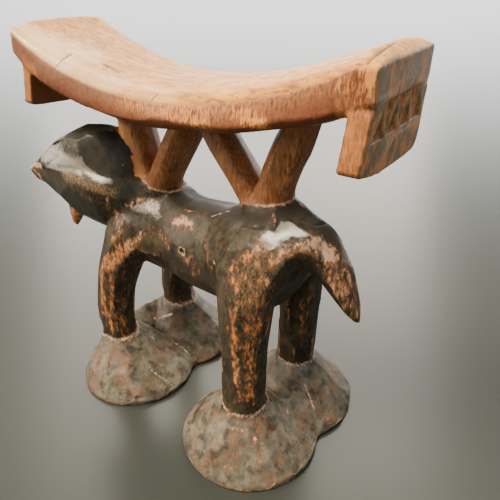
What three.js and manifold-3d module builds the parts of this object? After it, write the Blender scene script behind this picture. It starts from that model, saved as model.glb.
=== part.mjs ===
// A carved headrest cut from one block of wood: a curved pillow stands on two forked posts, and
// the posts stand on the back of a four-legged animal with a turned head, cone feet and a thick
// hooked tail. Millimetres, +Z up, +X from the head to the tail, origin on the ground under the
// middle of the whole carving.
import * as THREE from "three";
import { ConvexGeometry } from "three/addons/geometries/ConvexGeometry.js";
import { mergeVertices } from "three/addons/utils/BufferGeometryUtils.js";
import Module from "manifold-3d";

const wasm = await Module();
wasm.setup();

const DEGREE = Math.PI / 180;
const WELD_DISTANCE = 1e-4;

// The stations below are measured from the middle of the trunk. The whole carving moves this far
// towards the tail, so that the origin lies under the middle of its outline.
const SHIFT_TO_MIDDLE = 4.4;

// The pillow, in its own frame: s runs along it from the head end, t runs across it.
const PILLOW_TURN = 3.9 * DEGREE;
const PILLOW_MIDDLE_X = -1.5;
const PILLOW_HALF_WIDTH = 25;
const PILLOW_UNDER_HALF_WIDTH = 22.5;
const PILLOW = [
  { s: -80.5, crest: 172.8, near: 169.5, far: 170.6, under: 159.6, shift: -2.4 },
  { s: -79, crest: 172.4, near: 167.8, far: 169.8, under: 156.4, shift: -0.4 },
  { s: -72, crest: 169, near: 162.4, far: 166, under: 151.4, shift: 0 },
  { s: -60, crest: 164.6, near: 156.6, far: 161, under: 147.6, shift: 0 },
  { s: -44, crest: 159.8, near: 151.4, far: 156, under: 143.8, shift: 0 },
  { s: -26, crest: 156.4, near: 148.6, far: 152.6, under: 140.8, shift: 0 },
  { s: -8, crest: 155.6, near: 147.8, far: 151.6, under: 140, shift: 0 },
  { s: 12, crest: 157, near: 149.2, far: 153, under: 141.6, shift: 0 },
  { s: 30, crest: 160, near: 152, far: 156, under: 144.2, shift: 0 },
  { s: 46, crest: 164.4, near: 155.8, far: 161, under: 148, shift: 0 },
  { s: 60, crest: 169.2, near: 161.2, far: 166.4, under: 151.6, shift: 0 },
  { s: 70, crest: 172.8, near: 166, far: 170, under: 155.2, shift: 0 },
  { s: 74, crest: 173.8, near: 168.8, far: 171.6, under: 156.6, shift: 0 },
  { s: 79.6, crest: 171.2, near: 169.6, far: 170.8, under: 157.6, shift: -0.2 },
];
const PILLOW_STATIONS = 32;
const PILLOW_TOP_STEPS = 14;
const PILLOW_ROUNDING = 2.6;
// The ends bow outwards in plan, from this share of the half length on.
const PILLOW_END_BULGE = { head: 2, tail: 0.6, start: 0.6 };
// The sides tuck in a little above the underside.
const PILLOW_TUCK = { height: 0.25, inset: 0.4 };

// The lug that hangs under each end of the pillow, and the chip-carved band on its outer face.
const LUG = {
  head: {
    outer: -78.6, inner: -73, halfWidth: 23.5,
    leanNear: -4.9, leanFar: -3.4,
    near: 139, middle: 137.8, far: 139,
    bandTop: 154, bandBottom: 143.5,
  },
  tail: {
    outer: 79.5, inner: 71.8, halfWidth: 24.5,
    leanNear: -3, leanFar: -0.8,
    near: 138, middle: 134.8, far: 135.4,
    bandTop: 160, bandBottom: 148,
  },
};
const LUG_TOP = 158;
const LUG_NEAR_CORNER = 1.6;
const LUG_FAR_CORNER = 7;
const LUG_CORNER_STEPS = 4;
const BAND_PITCH = 11;
const BAND_TRIANGLES = 4;
const BAND_HALF_BASE = 4.73;
const BAND_DEPTH = 1.6;
const BAND_TIP_DEPTH = 0.2;
const BAND_TIP_INSET = 1;
// The cuts start this far outside the face.
const BAND_PROUD = 1.2;

// The forked posts: each arm is given by its middle x, its half size along x and its half size
// along y, at its foot on the animal's back and where it enters the pillow.
const POST_ARMS = [
  { foot: { z: 101, x: -35.4, along: 6.6, across: 8.8 }, head: { z: 148, x: -46, along: 6, across: 8.6 } },
  { foot: { z: 101, x: -30.6, along: 7.4, across: 9.2 }, head: { z: 148, x: -2.7, along: 6.6, across: 9.2 } },
  { foot: { z: 107, x: 30.6, along: 7.4, across: 7.8 }, head: { z: 146, x: -1.2, along: 7.2, across: 7.2 } },
  { foot: { z: 109, x: 30.6, along: 7.4, across: 8.4 }, head: { z: 154, x: 48, along: 5.8, across: 8 } },
];
const POST_ROUNDING = 2.4;
const POST_SIDES = 16;
const POST_STEPS = 4;
// A low collar joins the two arms of a post to the back.
const POST_COLLARS = [
  { middle: [-31.5, 0, 105.5], halfLength: 13, halfWidth: 9.8, lean: 0.02 },
  { middle: [31.5, 0, 112.5], halfLength: 11.3, halfWidth: 9.2, lean: 0.26 },
];
const COLLAR_HEIGHT = 7;
const COLLAR_TAPER = 0.12;
const COLLAR_SIDES = 20;
const COLLAR_STEPS = 2;

// The trunk, as stations along x: top of the back, underside, half width, middle of y.
const TRUNK = [
  { x: -52, top: 101, under: 80, half: 9, round: 2 },
  { x: -47, top: 106, under: 73, half: 17, round: 2 },
  { x: -38, top: 107.6, under: 69.4, half: 21, round: 1.9 },
  { x: -26, top: 106, under: 66.2, half: 20.5, round: 1.75 },
  { x: -13, top: 103.6, under: 63.8, half: 18.5, round: 1.7 },
  { x: 4, top: 104.2, under: 61.6, half: 18.5, round: 1.8 },
  { x: 17, top: 107.4, under: 62, half: 20, round: 2.1 },
  { x: 29, top: 111.8, under: 63.8, half: 21.4, round: 2.2 },
  { x: 41, top: 114.8, under: 69.5, half: 17.6, round: 2 },
  { x: 49, top: 113, under: 81, half: 12, round: 1.9 },
  { x: 55, top: 109.4, under: 92, half: 6.6, round: 1.9 },
];
const TRUNK_BELLY_ROUNDNESS = 2.3;
const TRUNK_STATIONS = 24;
const TRUNK_SIDES = 24;

// Legs: the near side has y below zero. Each one is a curved bar from its cone foot up into the
// trunk, with its half thickness along the animal and across it at each point.
const LEG_SIDES = 14;
const LIMB_ROUNDING = 2.2;
const LIMB_STEPS_PER_STATION = 3;
const FRONT_LEG = [
  { at: [-48, 21, 18], along: 8.6, across: 8.6 },
  { at: [-49.5, 21, 36], along: 8.8, across: 8.6 },
  { at: [-47.5, 20.5, 52], along: 9.2, across: 8.8 },
  { at: [-42, 19, 69], along: 10.4, across: 9.2 },
  { at: [-34, 15.5, 86], along: 12, across: 10 },
  { at: [-30, 9, 93], along: 10, across: 7 },
];
const REAR_LEG = [
  { at: [34.5, 20, 18], along: 9.3, across: 9.3 },
  { at: [34.8, 20.3, 42], along: 9.5, across: 9.3 },
  { at: [34.6, 20.3, 62], along: 10.4, across: 9.6 },
  { at: [34.6, 18.5, 82], along: 13.5, across: 10.6 },
  { at: [35.5, 14, 97], along: 14.5, across: 10 },
  { at: [36.5, 7, 103], along: 10, across: 6 },
];
const LEGS = [
  { stations: FRONT_LEG, side: -1, stout: 1, ahead: 0 },
  { stations: FRONT_LEG, side: 1, stout: 0.97, ahead: 2.4 },
  { stations: REAR_LEG, side: -1, stout: 1, ahead: 0 },
  { stations: REAR_LEG, side: 1, stout: 0.93, ahead: 0.8 },
];

// The haunch: on each side a thick band rises from the rear leg and runs over into the tail.
const HAUNCH = [
  { at: [35, 15.5, 82], along: 9, across: 8 },
  { at: [42, 15.4, 92], along: 7.4, across: 7 },
  { at: [47, 12.8, 99], along: 5.4, across: 5.4 },
  { at: [51.6, 8.4, 101.6], along: 4.6, across: 4.6 },
  { at: [55.8, 4.2, 100], along: 4.8, across: 4.8 },
  { at: [59, 0.6, 96], along: 5, across: 5 },
];
const HAUNCH_SIDES = 10;

// Cone feet: middle of the rim circle, its radius, and where the leg comes out at the top.
const FEET = [
  { rim: [-40.5, -18.2], radius: 29.6, top: [-48, -21] },
  { rim: [-40.5, 17.6], radius: 29.2, top: [-45.4, 21] },
  { rim: [35.4, -17.2], radius: 31.8, top: [34.3, -20] },
  { rim: [34.3, 16.6], radius: 32.4, top: [35.5, 20] },
];
// Webs that the knife left between the two cones of a pair, on the side towards the head (-1) and
// the side towards the tail (1). Each rises from the notch between the rims over its steps, which
// are measured inwards to the middle of the pair. The one ahead of the front feet is the highest.
const WEBS = [
  {
    feet: [0, 1], side: -1, notchHeight: 16.5,
    steps: [{ out: 16.5, halfWidth: 17, height: 23.2 }, { out: 6, halfWidth: 9, height: 14 }],
  },
  { feet: [0, 1], side: 1, notchHeight: 5.5, steps: [{ out: 9, halfWidth: 7, height: 11 }] },
  { feet: [2, 3], side: -1, notchHeight: 3.5, steps: [{ out: 11, halfWidth: 7, height: 17.5 }] },
  { feet: [2, 3], side: 1, notchHeight: 3.5, steps: [{ out: 11, halfWidth: 7, height: 17.5 }] },
];
const WEB_EDGE = { ground: 1.2, notch: 0.9 };
const WEB_LAP = 0.4;
// The flank of a cone: height, radius as a share of the rim's, and how far it has moved from the
// middle of the rim to the middle of the top.
const FOOT_FLANK = [
  { z: 2.2, share: 1, moved: 0 },
  { z: 7, share: 0.865, moved: 0.12 },
  { z: 13, share: 0.645, moved: 0.4 },
  { z: 19, share: 0.445, moved: 0.75 },
];
const FOOT_HEIGHT = 23.5;
const FOOT_TOP_RADIUS = 10.4;
const FOOT_TOP_BEVEL = 1.2;
const FOOT_EDGE_BEVEL = 0.6;
const FOOT_SIDES = 32;

// The tail: a thick crescent that springs from the rump and ends in a point.
const TAIL = [
  { at: [45, 0, 103.5], thick: 10, wide: 11 },
  { at: [53.5, 0, 101], thick: 9.2, wide: 9 },
  { at: [60.4, 0, 95.6], thick: 7.6, wide: 7.5 },
  { at: [65.8, 0, 87.8], thick: 5.8, wide: 6 },
  { at: [70.9, 0, 80], thick: 3.8, wide: 4.4 },
  { at: [74.4, 0, 73.6], thick: 1, wide: 1.4 },
];
const TAIL_SIDES = 12;

// The head, in its own frame: forward from the neck, turned towards the near side.
const HEAD_TURN = 30 * DEGREE;
const HEAD_NECK = [-45, -6];
const HEAD = [
  { f: -6, top: 121, dome: 8, brim: 110, cheek: 12, ridge: 106, jaw: 88, chin: 6 },
  { f: -1, top: 127, dome: 12, brim: 111, cheek: 17, ridge: 107, jaw: 85, chin: 8 },
  { f: 6, top: 130.4, dome: 13.5, brim: 111.5, cheek: 19.5, ridge: 107.5, jaw: 83, chin: 8.5 },
  { f: 13, top: 131.2, dome: 13.5, brim: 114.5, cheek: 19.5, ridge: 108, jaw: 82.5, chin: 8 },
  { f: 20, top: 130.4, dome: 12, brim: 119, cheek: 17.5, ridge: 109.5, jaw: 84, chin: 7 },
  { f: 27, top: 127, dome: 9.5, brim: 120.6, cheek: 14, ridge: 110.5, jaw: 89, chin: 5.5 },
  { f: 34, top: 122.4, dome: 6.5, brim: 118.5, cheek: 10.2, ridge: 111, jaw: 95.5, chin: 4.2 },
  { f: 40, top: 116.8, dome: 4, brim: 113.8, cheek: 6.8, ridge: 110.3, jaw: 100.5, chin: 3.2 },
  { f: 45, top: 112.8, dome: 2.4, brim: 111.2, cheek: 4, ridge: 109.3, jaw: 104.2, chin: 2.2 },
  { f: 49.5, top: 110, dome: 0.8, brim: 109.6, cheek: 1.1, ridge: 109, jaw: 107.8, chin: 0.6 },
];
// The head's section from the crown down. Upper points: width as a share of the dome's, and how
// far down from crown to brim. Lower points: how far the width has gone from cheek to chin, and
// how far down from the ridge to the jaw.
const HEAD_UPPER = [[0.5, 0.1], [0.86, 0.4], [1, 0.88], [0.97, 1]];
const HEAD_LOWER = [[0, 0], [0.05, 0.3], [0.5, 0.72], [1, 0.94]];
const BEARD = [
  { f: 28.6, z: 92, halfLength: 4.6, halfWidth: 3.6 },
  { f: 29.2, z: 86.5, halfLength: 3.9, halfWidth: 3.2 },
  { f: 29.9, z: 82, halfLength: 2.5, halfWidth: 2.2 },
  { f: 30.3, z: 78.4, halfLength: 0.5, halfWidth: 0.5 },
];
const BEARD_SIDES = 8;
// The mouth: a thin slit from the tip of the snout back along each side.
const MOUTH = { front: 51, back: 42.5, frontZ: 108.6, backZ: 106.6, opening: 1, halfWidth: 8 };
// The neck joins the front of the trunk to the back of the head.
const NECK = [
  { at: [-34, 0, 92], along: 17, across: 15 },
  { at: [-44, -3, 97], along: 16.5, across: 14 },
  { at: [-55, -10, 103], along: 14, across: 12.5 },
];
const NECK_SIDES = 16;

function asSolid(geometry) {
  const bare = geometry.clone();
  bare.deleteAttribute("normal");
  bare.deleteAttribute("uv");
  const merged = mergeVertices(bare, WELD_DISTANCE);
  return new wasm.Manifold(new wasm.Mesh({
    numProp: 3,
    vertProperties: new Float32Array(merged.attributes.position.array),
    triVerts: new Uint32Array(merged.index.array),
  }));
}

// A closed skin over rings of equal count, each ring a list of Vector3.
function skin(rings) {
  const count = rings[0].length;
  const points = rings.flat();
  const faces = [];
  for (let r = 0; r + 1 < rings.length; r += 1) {
    for (let k = 0; k < count; k += 1) {
      const a = r * count + k;
      const b = r * count + ((k + 1) % count);
      faces.push(a, b, b + count, a, b + count, a + count);
    }
  }
  const ends = [[0, false], [rings.length - 1, true]];
  for (const [ring, flip] of ends) {
    const middle = new THREE.Vector3();
    rings[ring].forEach((point) => middle.addScaledVector(point, 1 / count));
    const hub = points.length;
    points.push(middle);
    for (let k = 0; k < count; k += 1) {
      const a = ring * count + k;
      const b = ring * count + ((k + 1) % count);
      faces.push(...(flip ? [a, b, hub] : [b, a, hub]));
    }
  }
  let volume = 0;
  for (let k = 0; k < faces.length; k += 3) {
    const [a, b, c] = [0, 1, 2].map((i) => points[faces[k + i]]);
    volume += a.dot(new THREE.Vector3().crossVectors(b, c));
  }
  if (volume < 0) {
    for (let k = 0; k < faces.length; k += 3) {
      [faces[k], faces[k + 1]] = [faces[k + 1], faces[k]];
    }
  }
  const geometry = new THREE.BufferGeometry();
  geometry.setAttribute("position", new THREE.Float32BufferAttribute(points.flatMap((p) => p.toArray()), 3));
  geometry.setIndex(faces);
  return geometry;
}

// A smooth line through rows of numbers: gives the row at any place u from 0 to 1.
function smoothRows(rows) {
  const last = rows.length - 1;
  return (u) => {
    const place = Math.min(Math.max(u, 0), 1) * last;
    const k = Math.min(Math.floor(place), last - 1);
    const w = place - k;
    const [p0, p1, p2, p3] = [k - 1, k, k + 1, k + 2].map((i) => rows[Math.min(Math.max(i, 0), last)]);
    return p1.map((value, c) => {
      const slopeIn = (p2[c] - p0[c]) / 2;
      const slopeOut = (p3[c] - p1[c]) / 2;
      const w2 = w * w;
      const w3 = w2 * w;
      return (2 * w3 - 3 * w2 + 1) * value + (w3 - 2 * w2 + w) * slopeIn
        + (3 * w2 - 2 * w3) * p2[c] + (w3 - w2) * slopeOut;
    });
  };
}

// A point of a rounded square of half sizes a and b at an angle; roundness 2 is an ellipse.
function roundedPoint(angle, a, b, roundness) {
  const c = Math.cos(angle);
  const s = Math.sin(angle);
  const reach = (Math.abs(c) ** roundness + Math.abs(s) ** roundness) ** (-1 / roundness);
  return [a * c * reach, b * s * reach];
}

function pillowPoint(s, t, z) {
  const point = new THREE.Vector3(s, t, z);
  point.applyAxisAngle(new THREE.Vector3(0, 0, 1), PILLOW_TURN);
  point.x += PILLOW_MIDDLE_X;
  return point;
}

function pillow() {
  const keys = ["s", "crest", "near", "far", "under", "shift"];
  const rowAt = smoothRows(PILLOW.map((station) => keys.map((key) => station[key])));
  const endS = PILLOW.at(-1).s;
  const rings = [];
  for (let k = 0; k <= PILLOW_STATIONS; k += 1) {
    const [s, crest, near, far, under, shift] = rowAt(k / PILLOW_STATIONS);
    const { start } = PILLOW_END_BULGE;
    const endBulge = s < 0 ? -PILLOW_END_BULGE.head : PILLOW_END_BULGE.tail;
    const bulge = endBulge * Math.max(0, Math.abs(s) / endS - start) / (1 - start);
    const ring = [];
    const place = (t, z) => {
      const share = 1 - (t / PILLOW_HALF_WIDTH) ** 2;
      const drop = Math.max(0, (near - z) / (near - under));
      ring.push(pillowPoint(s + bulge * share + shift * drop, t, z));
    };
    for (let i = 0; i <= PILLOW_TOP_STEPS; i += 1) {
      const angle = Math.PI * i / PILLOW_TOP_STEPS;
      const [t, rise] = roundedPoint(angle, PILLOW_HALF_WIDTH, 1, PILLOW_ROUNDING);
      const edge = near + (far - near) * (t / PILLOW_HALF_WIDTH + 1) / 2;
      place(t, edge + (crest - edge) * rise);
    }
    place(-PILLOW_HALF_WIDTH + PILLOW_TUCK.inset, under + (near - under) * PILLOW_TUCK.height);
    for (let i = -1; i <= 1; i += 0.5) {
      place(i * PILLOW_UNDER_HALF_WIDTH, under);
    }
    place(PILLOW_HALF_WIDTH - PILLOW_TUCK.inset, under + (far - under) * PILLOW_TUCK.height);
    rings.push(ring);
  }
  return asSolid(skin(rings));
}

// How far a lug's faces have leaned along the pillow at a place across it and a height.
function lugLean({ leanNear, leanFar, middle, halfWidth }, t, z) {
  const lean = leanNear + (leanFar - leanNear) * (t / halfWidth + 1) / 2;
  return lean * (LUG_TOP - z) / (LUG_TOP - middle);
}

function lug(size) {
  const { outer, inner, near, middle, far, halfWidth } = size;
  const shape = new THREE.Shape();
  shape.moveTo(-halfWidth, LUG_TOP);
  shape.lineTo(-halfWidth, near + LUG_NEAR_CORNER);
  shape.lineTo(-halfWidth + LUG_NEAR_CORNER, near);
  shape.quadraticCurveTo(-halfWidth / 2, middle, 0, middle);
  shape.lineTo(halfWidth - LUG_FAR_CORNER, far);
  shape.quadraticCurveTo(halfWidth, far, halfWidth, far + LUG_FAR_CORNER);
  shape.lineTo(halfWidth, LUG_TOP);
  const geometry = new THREE.ExtrudeGeometry(shape, {
    depth: Math.abs(outer - inner),
    bevelEnabled: false,
    curveSegments: LUG_CORNER_STEPS,
  });
  const position = geometry.attributes.position;
  const start = Math.min(outer, inner);
  for (let k = 0; k < position.count; k += 1) {
    const t = position.getX(k);
    const z = position.getY(k);
    const point = pillowPoint(start + position.getZ(k) + lugLean(size, t, z), t, z);
    position.setXYZ(k, point.x, point.y, point.z);
  }
  return asSolid(geometry);
}

// A row of chip-cut triangles across the outer face of a lug: deep along their base, running out
// at their point. Every other triangle points down.
function chipBand(size, facing) {
  const face = (t, z) => size.outer + lugLean(size, t, z);
  let cuts = null;
  for (let k = 0; k < 2 * BAND_TRIANGLES - 1; k += 1) {
    const pointsDown = k % 2 === 1;
    const middle = (k / 2 - (BAND_TRIANGLES - 1) / 2) * BAND_PITCH;
    const base = pointsDown ? size.bandTop : size.bandBottom;
    const tip = pointsDown ? size.bandBottom + BAND_TIP_INSET : size.bandTop - BAND_TIP_INSET;
    const corners = [
      [-BAND_DEPTH, middle - BAND_HALF_BASE, base],
      [-BAND_DEPTH, middle + BAND_HALF_BASE, base],
      [BAND_PROUD, middle - BAND_HALF_BASE, base],
      [BAND_PROUD, middle + BAND_HALF_BASE, base],
      [-BAND_TIP_DEPTH, middle, tip],
      [BAND_PROUD, middle, tip],
    ].map(([out, t, z]) => pillowPoint(face(t, z) + out * facing, t, z));
    const cut = asSolid(new ConvexGeometry(corners));
    cuts = cuts ? cuts.add(cut) : cut;
  }
  return cuts;
}

// One arm of a forked post: a slanted bar with rounded corners and level sections.
function postArm({ foot, head }) {
  const keys = ["x", "z", "along", "across"];
  const rings = Array.from({ length: POST_STEPS + 1 }, (_, step) => {
    const u = step / POST_STEPS;
    const [x, z, along, across] = keys.map((key) => foot[key] + (head[key] - foot[key]) * u);
    return Array.from({ length: POST_SIDES }, (_unused, k) => {
      const [a, b] = roundedPoint(2 * Math.PI * (k + 0.5) / POST_SIDES, along, across, POST_ROUNDING);
      return new THREE.Vector3(x + a, b, z);
    });
  });
  return asSolid(skin(rings));
}

function postCollar({ middle, halfLength, halfWidth, lean }) {
  const rings = Array.from({ length: COLLAR_STEPS + 1 }, (_, step) => {
    const u = step / COLLAR_STEPS;
    const spread = 1 - COLLAR_TAPER * u;
    const rise = (u - 0.5) * COLLAR_HEIGHT;
    return Array.from({ length: COLLAR_SIDES }, (_unused, k) => {
      const angle = 2 * Math.PI * k / COLLAR_SIDES;
      const [a, b] = roundedPoint(angle, halfLength * spread, halfWidth * spread, POST_ROUNDING);
      return new THREE.Vector3(middle[0] + a, middle[1] + b, middle[2] + rise + lean * a);
    });
  });
  return asSolid(skin(rings));
}

function trunk() {
  const rowAt = smoothRows(TRUNK.map(({ x, top, under, half, round }) => [x, top, under, half, round]));
  const rings = Array.from({ length: TRUNK_STATIONS + 1 }, (_, k) => {
    const [x, top, under, half, round] = rowAt(k / TRUNK_STATIONS);
    const middle = (top + under) / 2;
    return Array.from({ length: TRUNK_SIDES }, (_unused, i) => {
      const roundness = i < TRUNK_SIDES / 2 ? round : TRUNK_BELLY_ROUNDNESS;
      const [a, b] = roundedPoint(2 * Math.PI * i / TRUNK_SIDES, half, (top - under) / 2, roundness);
      return new THREE.Vector3(x, a, middle + b);
    });
  });
  return asSolid(skin(rings));
}

// A curved bar through stations, its sections level where it is upright.
function limb(stations, sides, side, stout = 1, ahead = 0) {
  const places = stations.map(({ at }) => new THREE.Vector3(at[0] + ahead, at[1] * side, at[2]));
  const path = new THREE.CatmullRomCurve3(places);
  const sizeAt = smoothRows(stations.map(({ along, across }) => [along, across]));
  const steps = LIMB_STEPS_PER_STATION * (stations.length - 1);
  const rings = Array.from({ length: steps + 1 }, (_, k) => {
    const u = k / steps;
    const middle = path.getPoint(u);
    const run = path.getTangent(u);
    const acrossAxis = new THREE.Vector3(0, 1, 0).addScaledVector(run, -run.y).normalize();
    const alongAxis = new THREE.Vector3().crossVectors(acrossAxis, run);
    const [along, across] = sizeAt(u);
    return Array.from({ length: sides }, (_unused, i) => {
      const angle = 2 * Math.PI * (i + 0.5) / sides;
      const [a, b] = roundedPoint(angle, along * stout, across * stout, LIMB_ROUNDING);
      return middle.clone().addScaledVector(alongAxis, a).addScaledVector(acrossAxis, b);
    });
  });
  return asSolid(skin(rings));
}

function foot({ rim, radius, top }) {
  const levels = [
    { z: 0, r: radius - FOOT_EDGE_BEVEL, u: 0 },
    ...FOOT_FLANK.map(({ z, share, moved }) => ({ z, r: radius * share, u: moved })),
    { z: FOOT_HEIGHT, r: FOOT_TOP_RADIUS, u: 1 },
    { z: FOOT_HEIGHT + FOOT_TOP_BEVEL, r: FOOT_TOP_RADIUS - FOOT_TOP_BEVEL, u: 1 },
  ];
  const rings = levels.map(({ z, r, u }) => Array.from({ length: FOOT_SIDES }, (_, k) => {
    const angle = 2 * Math.PI * k / FOOT_SIDES;
    return new THREE.Vector3(
      rim[0] + (top[0] - rim[0]) * u + r * Math.cos(angle),
      rim[1] + (top[1] - rim[1]) * u + r * Math.sin(angle),
      z,
    );
  }));
  return asSolid(skin(rings));
}

function webs() {
  return WEBS.map(({ feet: pair, side, notchHeight, steps }) => {
    const [near, far] = pair.map((k) => FEET[k]);
    const middle = (near.rim[0] + far.rim[0]) / 2;
    const radius = (near.radius + far.radius) / 2;
    const reach = Math.sqrt(radius ** 2 - far.rim[1] ** 2);
    const { ground, notch } = WEB_EDGE;
    const corners = [-1, 1].flatMap((across) => [
      [middle + side * (reach + WEB_LAP), across * ground, 0],
      [middle + side * reach, across * notch, notchHeight],
      ...steps.flatMap(({ out, halfWidth, height }) => [height, 0].map((z) => (
        [middle + side * out, across * halfWidth, z]
      ))),
    ]);
    return asSolid(new ConvexGeometry(corners.map((corner) => new THREE.Vector3(...corner))));
  });
}

function headPoint(f, t, z) {
  const point = new THREE.Vector3(-f, -t, z);
  point.applyAxisAngle(new THREE.Vector3(0, 0, 1), HEAD_TURN);
  point.x += HEAD_NECK[0];
  point.y += HEAD_NECK[1];
  return point;
}

function head() {
  const keys = ["f", "top", "dome", "brim", "cheek", "ridge", "jaw", "chin"];
  const rowAt = smoothRows(HEAD.map((station) => keys.map((key) => station[key])));
  const steps = 2 * (HEAD.length - 1);
  const rings = Array.from({ length: steps + 1 }, (_, k) => {
    const [f, top, dome, brim, cheek, ridge, jaw, chin] = rowAt(k / steps);
    const half = [
      [0, top],
      ...HEAD_UPPER.map(([wide, down]) => [dome * wide, top - (top - brim) * down]),
      ...HEAD_LOWER.map(([narrow, down]) => [cheek + (chin - cheek) * narrow, ridge - (ridge - jaw) * down]),
      [0, jaw],
    ];
    const mirrored = half.slice(1, -1).reverse().map(([t, z]) => [-t, z]);
    return [...half, ...mirrored].map(([t, z]) => headPoint(f, t, z));
  });
  return asSolid(skin(rings));
}

function beard() {
  const rings = BEARD.map(({ f, z, halfLength, halfWidth }) => (
    Array.from({ length: BEARD_SIDES }, (_, i) => {
      const angle = 2 * Math.PI * i / BEARD_SIDES;
      return headPoint(f + halfLength * Math.cos(angle), halfWidth * Math.sin(angle), z);
    })
  ));
  return asSolid(skin(rings));
}

function mouth() {
  const { front, back, frontZ, backZ, opening, halfWidth } = MOUTH;
  const corners = [-halfWidth, halfWidth].flatMap((t) => [
    headPoint(front, t, frontZ + opening / 2),
    headPoint(front, t, frontZ - opening / 2),
    headPoint(back, t, backZ),
  ]);
  return asSolid(new ConvexGeometry(corners));
}

function carving() {
  const pieces = [
    pillow(), lug(LUG.head), lug(LUG.tail), trunk(), head(), beard(),
    ...POST_ARMS.map(postArm),
    ...POST_COLLARS.map(postCollar),
    ...LEGS.map(({ stations, side, stout, ahead }) => limb(stations, LEG_SIDES, side, stout, ahead)),
    limb(NECK, NECK_SIDES, 1),
    limb(HAUNCH, HAUNCH_SIDES, -1),
    limb(HAUNCH, HAUNCH_SIDES, 1),
    ...FEET.map(foot),
    ...webs(),
    limb(TAIL.map(({ at, thick, wide }) => ({ at, along: thick, across: wide })), TAIL_SIDES, 1),
  ];
  let whole = pieces.reduce((joined, piece) => joined.add(piece));
  whole = whole.subtract(chipBand(LUG.tail, 1));
  whole = whole.subtract(chipBand(LUG.head, -1));
  whole = whole.subtract(mouth());
  return whole;
}

function meshOf(solid) {
  const { vertProperties, triVerts } = solid.getMesh();
  const geometry = new THREE.BufferGeometry();
  geometry.setAttribute("position", new THREE.BufferAttribute(new Float32Array(vertProperties), 3));
  geometry.setIndex(new THREE.BufferAttribute(new Uint32Array(triVerts), 1));
  geometry.translate(SHIFT_TO_MIDDLE, 0, 0);
  geometry.computeVertexNormals();
  return geometry;
}

const darkWood = new THREE.MeshStandardMaterial({ color: 0x3a2a20, roughness: 0.6, metalness: 0 });
const headrest = new THREE.Mesh(meshOf(carving()), darkWood);
headrest.name = "headrest";

const model = new THREE.Group();
model.add(headrest);

export default model;
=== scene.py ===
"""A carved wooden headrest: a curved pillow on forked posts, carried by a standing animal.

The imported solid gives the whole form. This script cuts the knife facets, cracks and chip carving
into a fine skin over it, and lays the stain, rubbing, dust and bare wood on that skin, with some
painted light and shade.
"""

import math

import bpy
import numpy as np
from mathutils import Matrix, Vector
from mathutils.bvhtree import BVHTree


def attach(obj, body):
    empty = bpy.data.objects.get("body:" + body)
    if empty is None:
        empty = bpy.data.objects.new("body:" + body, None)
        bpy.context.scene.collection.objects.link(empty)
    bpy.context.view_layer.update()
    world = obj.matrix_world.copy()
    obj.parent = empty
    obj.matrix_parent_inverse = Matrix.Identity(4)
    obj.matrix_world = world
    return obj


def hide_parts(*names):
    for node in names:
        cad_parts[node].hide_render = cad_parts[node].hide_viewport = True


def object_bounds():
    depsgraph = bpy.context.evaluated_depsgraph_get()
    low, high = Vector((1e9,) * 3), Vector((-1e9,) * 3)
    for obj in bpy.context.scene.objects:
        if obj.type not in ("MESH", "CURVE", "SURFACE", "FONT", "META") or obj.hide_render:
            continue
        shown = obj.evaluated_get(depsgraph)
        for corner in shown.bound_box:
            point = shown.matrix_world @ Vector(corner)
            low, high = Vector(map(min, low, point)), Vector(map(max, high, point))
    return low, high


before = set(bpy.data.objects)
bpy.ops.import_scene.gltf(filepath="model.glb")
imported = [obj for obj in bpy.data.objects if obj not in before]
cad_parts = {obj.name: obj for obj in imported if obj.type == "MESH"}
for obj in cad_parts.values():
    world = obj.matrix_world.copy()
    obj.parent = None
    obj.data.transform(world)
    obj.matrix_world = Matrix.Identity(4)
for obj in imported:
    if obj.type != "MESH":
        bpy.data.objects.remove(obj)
cad_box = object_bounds()

# The view
# The camera looks down past the animal's left hip towards its head. Places on the carving that
# are given in pixels below are read in this view, whose image is 500 pixels on each side.
METRE = 1000.0
PHOTO_PIXELS = 500
FOCAL_PIXELS = 508.1
PHOTO_MIDDLE = (250.5, 250.8)
SENSOR = 36.0

view_from = Vector((0.1419, -0.1493, 0.1941))
view_at = Vector((0.0265, 0.0, 0.0874))
camera_data = bpy.data.cameras.new("camera")
camera_data.sensor_width = SENSOR
camera_data.lens = SENSOR * FOCAL_PIXELS / PHOTO_PIXELS
camera_data.clip_start = 0.01
camera = bpy.data.objects.new("camera", camera_data)
camera.location = view_from
camera.rotation_euler = (view_at - view_from).to_track_quat("-Z", "Y").to_euler()
bpy.context.scene.collection.objects.link(camera)
bpy.context.scene.camera = camera
view_turn = camera.rotation_euler.to_matrix()

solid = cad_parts["headrest"]
solid_tree = BVHTree.FromPolygons(
    [vertex.co.copy() for vertex in solid.data.vertices],
    [tuple(polygon.vertices) for polygon in solid.data.polygons],
)


def seen_place(pixel):
    """The place in millimetres on the solid that shows at a pixel of the photograph, or None."""
    across = pixel[0] - PHOTO_MIDDLE[0]
    down = pixel[1] - PHOTO_MIDDLE[1]
    sight = view_turn @ Vector((across, -down, -FOCAL_PIXELS)).normalized()
    place = solid_tree.ray_cast(view_from, sight)[0]
    return None if place is None else np.array(place) * METRE


# The block
# The headrest is cut from one block of dense wood. Its skin is one even net over the solid, held
# here as rows of points in millimetres, with the neighbours of every point.
NET = 0.66
block = bpy.data.objects.new("carved_headrest", solid.data.copy())
bpy.context.scene.collection.objects.link(block)
even_net = block.modifiers.new("even net", "REMESH")
even_net.mode = "VOXEL"
even_net.voxel_size = NET / METRE
skin = bpy.data.meshes.new_from_object(block.evaluated_get(bpy.context.evaluated_depsgraph_get()))
block.modifiers.clear()
block.data = skin

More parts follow.
